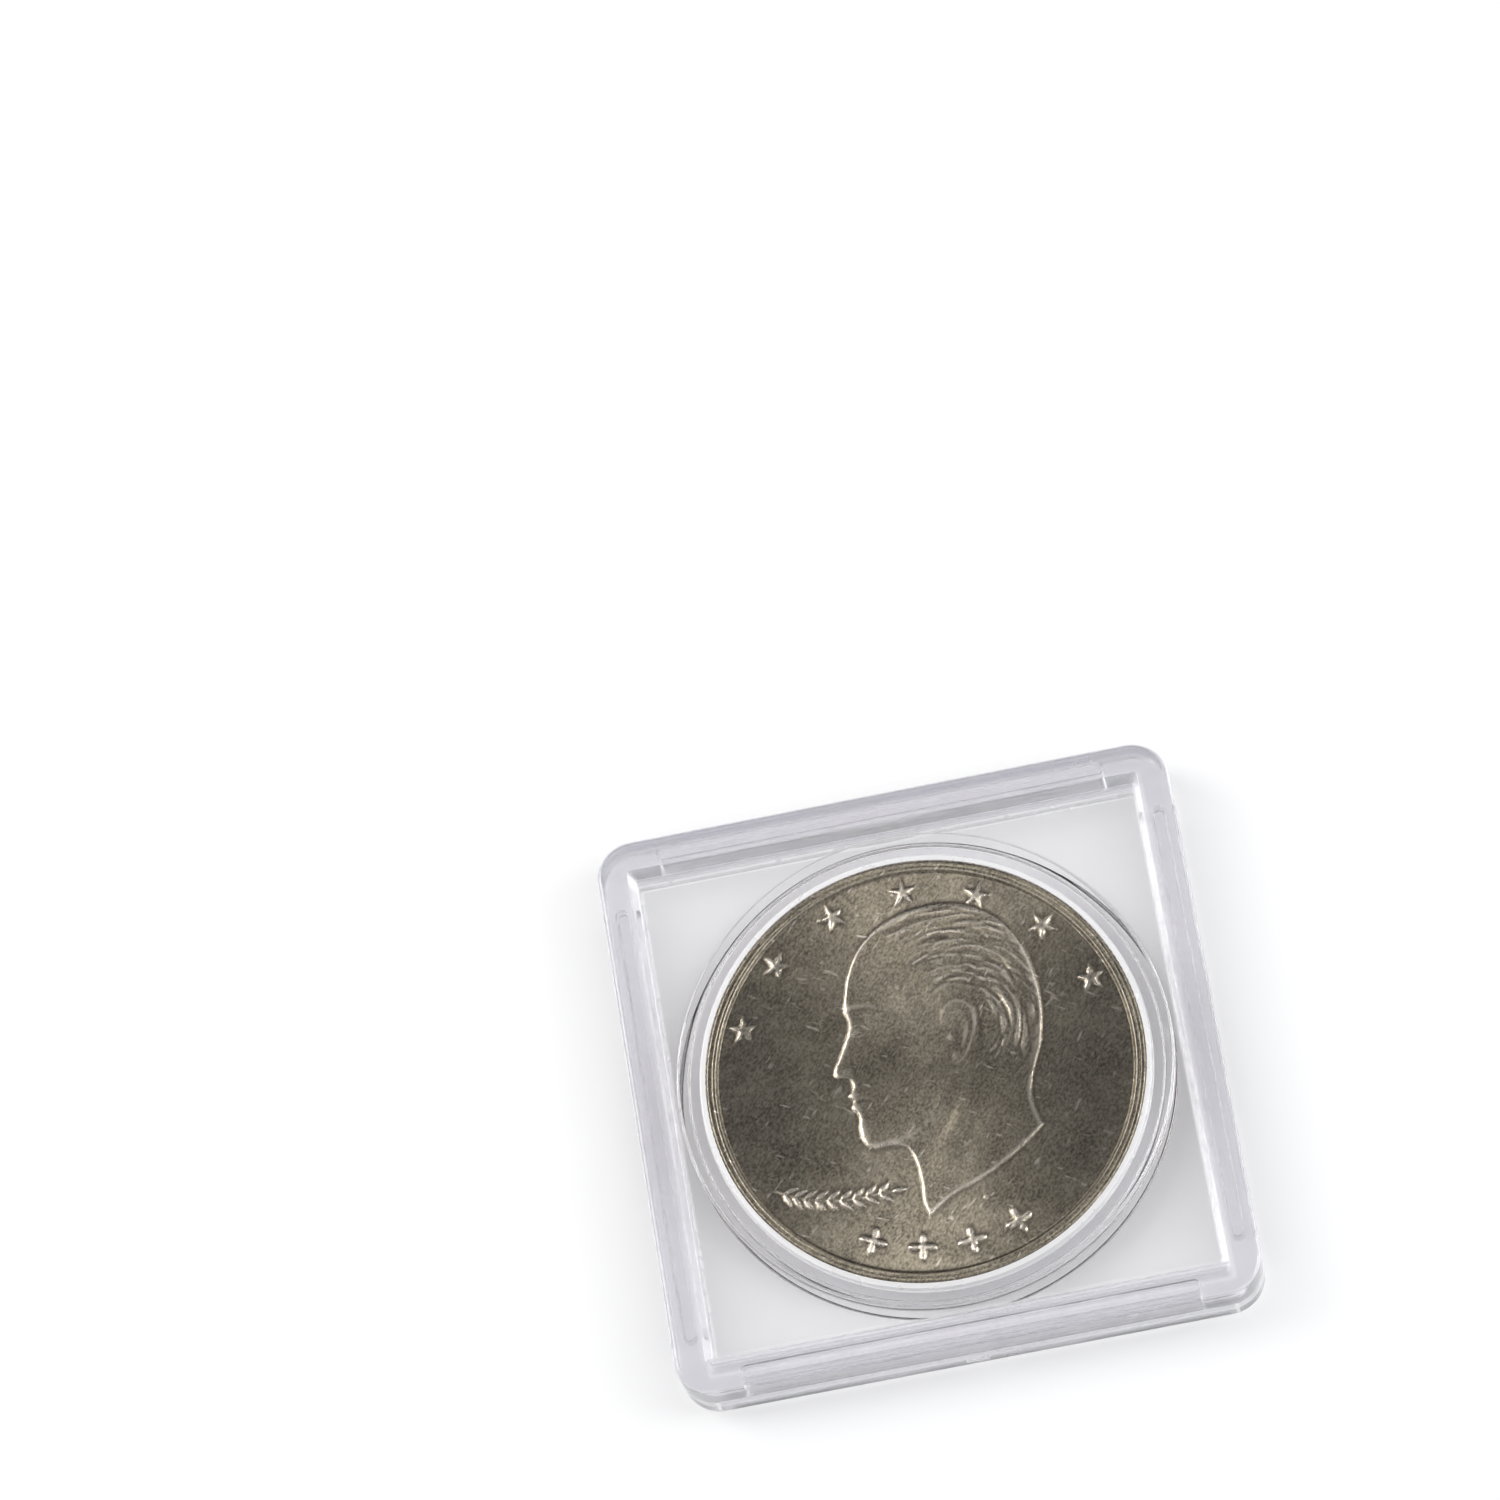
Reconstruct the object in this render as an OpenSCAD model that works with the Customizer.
// Square snap-together coin capsule with a large dollar-size clad coin in it.
// Two identical clear mouldings close face to face. The frame stands on the middle
// of the capsule's lower face: +Z is up through the coin, and the obverse looks up.

/* [Capsule] */
// Outside width and depth of the closed capsule
capsule_side = 50.5; // [49.5:0.1:52]
// Outside height of the closed capsule
capsule_height = 6.2; // [6.1:0.05:6.6]
// Radius of the four outer corners, seen from above
corner_radius = 3.3; // [2:0.1:4.5]
// Rounding along the outer edges of the rim
edge_rounding = 0.45; // [0.2:0.05:0.6]

/* [Rim and panel] */
// Width of the rim's flat land, from the outer wall to the recess
rim_width = 2.7; // [2.5:0.05:3]
// Depth of the square recess below the rim's land
panel_depth = 1.3; // [0.9:0.05:1.4]
// How far the recess wall leans inward over its depth
recess_lean = 0.55; // [0.2:0.05:0.6]
// Thickness of the clear panel in the corners and over the coin
panel_thickness = 0.95; // [0.7:0.05:1]

/* [Coin well] */
// Radius of the raised round window over the coin
window_radius = 21.3; // [20.8:0.05:21.4]
// Depth of the window's face below the rim's land
window_depth = 0.82; // [0.6:0.02:0.9]
// Inside radius of the well that holds the coin
well_radius = 19.55; // [19.2:0.05:19.8]
// Thickness of the round wall of the well
well_wall = 0.95; // [0.7:0.05:1.1]

/* [Snap tongues and grooves] */
// Length of each groove, over its round ends
groove_length = 39.6; // [30:0.2:41]
// Width of each groove
groove_width = 1.15; // [1:0.05:1.3]
// Distance from the outer wall to the near side of the groove
groove_inset = 0.95; // [0.8:0.05:1.1]
// Plastic left above the groove's floor
groove_floor = 0.85; // [0.6:0.05:1.2]
// Side clearance of a tongue in its groove
snap_clearance = 0.07; // [0.05:0.01:0.1]

/* [Coin] */
// Diameter of the coin
coin_diameter = 38.1; // [37.9:0.1:38.3]
// Thickness of the coin at its rim
coin_thickness = 2.58; // [2.4:0.02:2.6]
// Thickness of the cladding on each face
cladding_thickness = 0.43; // [0.35:0.01:0.5]
// Width of the coin's raised rim
coin_rim_width = 0.95; // [0.6:0.05:1.2]
// Depth of the coin's field below its rim
field_depth = 0.18; // [0.1:0.01:0.25]

/* [Hidden] */
$fn = 96;

half_side = capsule_side / 2;
half_height = capsule_height / 2;
coin_radius = coin_diameter / 2;
// The two mouldings stop short of the parting plane by this much each.
parting_gap = 0.02;
shell_height = half_height - parting_gap;
window_floor = window_depth + panel_thickness;
cavity_floor = panel_depth + panel_thickness;
// Inside face of the rim, between the panels of the two mouldings
cavity_half = half_side - rim_width - 0.2;
recess_half = half_side - rim_width - recess_lean;
window_lean = 0.2;
snap_line = half_side - groove_inset - groove_width / 2;
tongue_width = groove_width - 2 * snap_clearance;
tongue_length = groove_length - 2 * snap_clearance;
// A tongue stops this far from the floor of the groove that it enters.
tongue_end_gap = 0.15;
tongue_top = capsule_height - groove_floor - tongue_end_gap;
tongue_lead_in = 0.12;
// Mark left where the moulding was cut from its runner
gate_width = 2.2;
gate_height = 0.9;
gate_centre = 1.15;
gate_depth = 0.1;
// Clear air on each side of a cut, so that no cut ends on a face
over = 1;

core_thickness = coin_thickness - 2 * cladding_thickness;
coin_edge_rounding = 0.22;
relief_height = 0.13;
field_radius = coin_radius - coin_rim_width;
star_circle = 16.3;
star_radius = 1.45;
// Radius of the notches between a star's points, as a share of the star's
star_waist = 0.4;
rosette_circle = 15.8;
rosette_radius = 1.3;
pellet_radius = 0.6;
// Turn of the coin in its well, and the steps between its stars and rosettes
coin_turn = -2.4;
star_step = 22.8;
rosette_step = 15.6;
reverse_pellets = 24;
// Depth of the notches between a rosette's petals, as a share of its radius
petal_notch = 0.6;
// Laurel sprig: its stem is a parabola, and its leaves stand in pairs just clear of the stem
stem_start = -14;
stem_end = -4.2;
stem_low = [-6.8, -10.52];
stem_bend = 0.0332;
stem_width = 0.2;
stem_steps = 6;
leaf_length = 1.5;
leaf_width = 0.54;
// Width of a leaf a quarter of the way to its tip
leaf_shoulder = 0.45;
leaf_spread = 38;
leaf_offset = 0.16;
leaf_pairs = 9;
leaf_first = 0.6;
leaf_step = 1;

clear_plastic = [0.84, 0.86, 0.92, 0.45];
cupronickel = [0.56, 0.53, 0.48];
copper = [0.62, 0.38, 0.24];

// Section through a slab that is rounded along its two lower edges
module slab_section(half_width) {
    for (side = [0, 1]) mirror([side, 0]) {
        square([half_width - edge_rounding, shell_height]);
        translate([0, edge_rounding]) square([half_width, shell_height - edge_rounding]);
        translate([half_width - edge_rounding, edge_rounding]) circle(edge_rounding);
    }
}

// Half of the slab's section, for turning into a round corner
module corner_section() {
    intersection() {
        slab_section(corner_radius);
        square([corner_radius, shell_height]);
    }
}

// Slab with round corners and a rounded lower edge, from the outer face at Z = 0 up
module rounded_slab() {
    straight = capsule_side - 2 * corner_radius;
    for (turn = [0, 90])
        rotate([0, 0, turn]) translate([0, straight / 2, 0])
            rotate([90, 0, 0]) linear_extrude(straight) slab_section(half_side);
    for (turn = [0, 90, 180, 270])
        rotate([0, 0, turn]) translate([straight / 2, straight / 2, 0])
            rotate_extrude() corner_section();
}

// Trapezoid prism along Y: the recess as cut by two of its four leaning walls
module recess_prism() {
    slope = recess_lean / panel_depth;
    rotate([90, 0, 0]) translate([0, 0, -capsule_side]) linear_extrude(2 * capsule_side)
        polygon([
            [-recess_half, panel_depth],
            [recess_half, panel_depth],
            [recess_half + slope * (panel_depth + over), -over],
            [-recess_half - slope * (panel_depth + over), -over],
        ]);
}

// Square recess around the raised window
module recess() {
    difference() {
        intersection() {
            recess_prism();
            rotate([0, 0, 90]) recess_prism();
        }
        translate([0, 0, window_depth])
            cylinder(h = panel_depth - window_depth, r1 = window_radius,
                     r2 = window_radius + window_lean);
        translate([0, 0, panel_depth]) cylinder(h = over, r = window_radius + window_lean);
    }
}

// Space between the two panels, outside the wall of the well
module corner_cavity() {
    difference() {
        translate([-cavity_half, -cavity_half, cavity_floor])
            cube([2 * cavity_half, 2 * cavity_half, half_height]);
        cylinder(h = capsule_height, r = well_radius + well_wall);
    }
}

// Bar with round ends along X, for grooves and tongues
module round_bar(length, width, height) {
    reach = (length - width) / 2;
    translate([-reach, -width / 2, 0]) cube([2 * reach, width, height]);
    for (x = [-reach, reach]) translate([x, 0, 0]) cylinder(h = height, d = width, $fn = 48);
}

// Tongue with a narrower tip that leads it into the groove
module tongue() {
    translate([0, 0, shell_height - over])
        round_bar(tongue_length, tongue_width, tongue_top - tongue_lead_in - shell_height + over);
    translate([0, 0, tongue_top - 2 * tongue_lead_in])
        round_bar(tongue_length - 2 * tongue_lead_in, tongue_width - 2 * tongue_lead_in,
                  2 * tongue_lead_in);
}

// One moulding, outer face down: tongues on the two Y sides, grooves on the two X sides
module moulding() {
    difference() {
        rounded_slab();
        recess();
        translate([0, 0, window_floor]) cylinder(h = half_height, r = well_radius);
        corner_cavity();
        for (side = [-1, 1]) rotate([0, 0, 90]) translate([0, side * snap_line, groove_floor])
            round_bar(groove_length, groove_width, half_height);
        translate([-gate_width / 2, -half_side - over, gate_centre - gate_height / 2])
            cube([gate_width, gate_depth + over, gate_height]);
    }
    for (side = [-1, 1]) translate([0, side * snap_line, 0]) tongue();
}

module back_shell() {
    color(clear_plastic) moulding();
}

// The same moulding turned over and a quarter round, so each tongue meets a groove
module front_shell() {
    color(clear_plastic) translate([0, 0, capsule_height])
        rotate([0, 0, 90]) rotate([180, 0, 0]) moulding();
}

// Copper core, bare on the coin's edge between the two claddings
module coin_core() {
    color(copper) translate([0, 0, half_height - core_thickness / 2])
        cylinder(h = core_thickness, r = coin_radius);
}

// Half section of a cladding: flat field, raised rim and a rounded outer edge
module cladding_section() {
    soft = coin_radius - coin_edge_rounding;
    square([soft, cladding_thickness - field_depth]);
    translate([field_radius, 0]) square([soft - field_radius, cladding_thickness]);
    square([coin_radius, cladding_thickness - coin_edge_rounding]);
    intersection() {
        translate([soft, cladding_thickness - coin_edge_rounding]) circle(coin_edge_rounding);
        square([coin_radius, cladding_thickness]);
    }
}

// Cladding disc with its struck face up and its bonded face at Z = 0
module cladding() {
    rotate_extrude() cladding_section();
}

// Places its children on the field, at a radius and a direction
module on_field(radius, angle) {
    rotate([0, 0, angle]) translate([radius, 0, cladding_thickness - field_depth - relief_height])
        linear_extrude(2 * relief_height) children();
}

// Five-pointed star
module star(radius) {
    polygon([for (i = [0:9]) let (r = i % 2 == 0 ? radius : radius * star_waist)
        [r * cos(36 * i), r * sin(36 * i)]]);
}

// Flower with four round petals
module rosette(radius) {
    polygon([for (a = [0:15:345]) let (r = radius * (1 - petal_notch * (1 - cos(4 * a)) / 2))
        [r * cos(a), r * sin(a)]]);
}

// Point of the sprig's stem at a place along X
function stem(x) = [x, stem_low[1] + stem_bend * pow(x - stem_low[0], 2)];

// Direction of the stem there
function stem_slope(x) = atan(2 * stem_bend * (x - stem_low[0]));

// Pointed leaf along +X
module leaf() {
    for (side = [0, 1]) mirror([0, side])
        polygon([[0, 0], [leaf_length / 4, leaf_shoulder / 2], [leaf_length / 2, leaf_width / 2],
                 [leaf_length, 0]]);
}

// Small laurel branch in front of the neck
module sprig() {
    run = [for (i = [0:stem_steps]) stem(stem_start + (stem_end - stem_start) * i / stem_steps)];
    side = [0, stem_width / 2];
    polygon(concat([for (p = run) p + side], [for (i = [stem_steps:-1:0]) run[i] - side]));
    for (i = [0:leaf_pairs - 1], way = [-1, 1]) {
        x = stem_start + leaf_first + leaf_step * i;
        translate(stem(x)) rotate(stem_slope(x)) translate([0, way * leaf_offset])
            rotate(way * leaf_spread) leaf();
    }
    translate(stem(stem_end)) translate([leaf_offset, 0]) leaf();
}

// Plain head facing -X, on a bust that is cut to a point
module bust() {
    translate([2.6, 6.8]) circle(8);
    translate([-1.6, 0.6]) circle(5);
    polygon([[-5, 6], [-7.6, 1.8], [-6, 1]]);
    polygon([[-3, -4], [-0.6, -7], [-0.7, -13.2], [9.8, -6], [9.6, 4], [0, 3]]);
}

module coin_obverse() {
    color(cupronickel) translate([0, 0, half_height + core_thickness / 2])
        rotate([0, 0, coin_turn]) {
            cladding();
            on_field(0, 0) bust();
            on_field(0, 0) sprig();
            for (i = [-3:3]) on_field(star_circle, 90 + star_step * i) star(star_radius);
            for (i = [-1.5:1.5])
                on_field(rosette_circle, -90 + rosette_step * i) rosette(rosette_radius);
        }
}

// Star inside a ring of pellets, on the face that looks down
module coin_reverse() {
    color(cupronickel) translate([0, 0, half_height - core_thickness / 2]) rotate([180, 0, 0]) {
        cladding();
        on_field(0, 90) star(8);
        for (i = [1:reverse_pellets])
            on_field(star_circle, 360 * i / reverse_pellets) circle(pellet_radius, $fn = 24);
    }
}

back_shell();
front_shell();
coin_core();
coin_reverse();
coin_obverse();
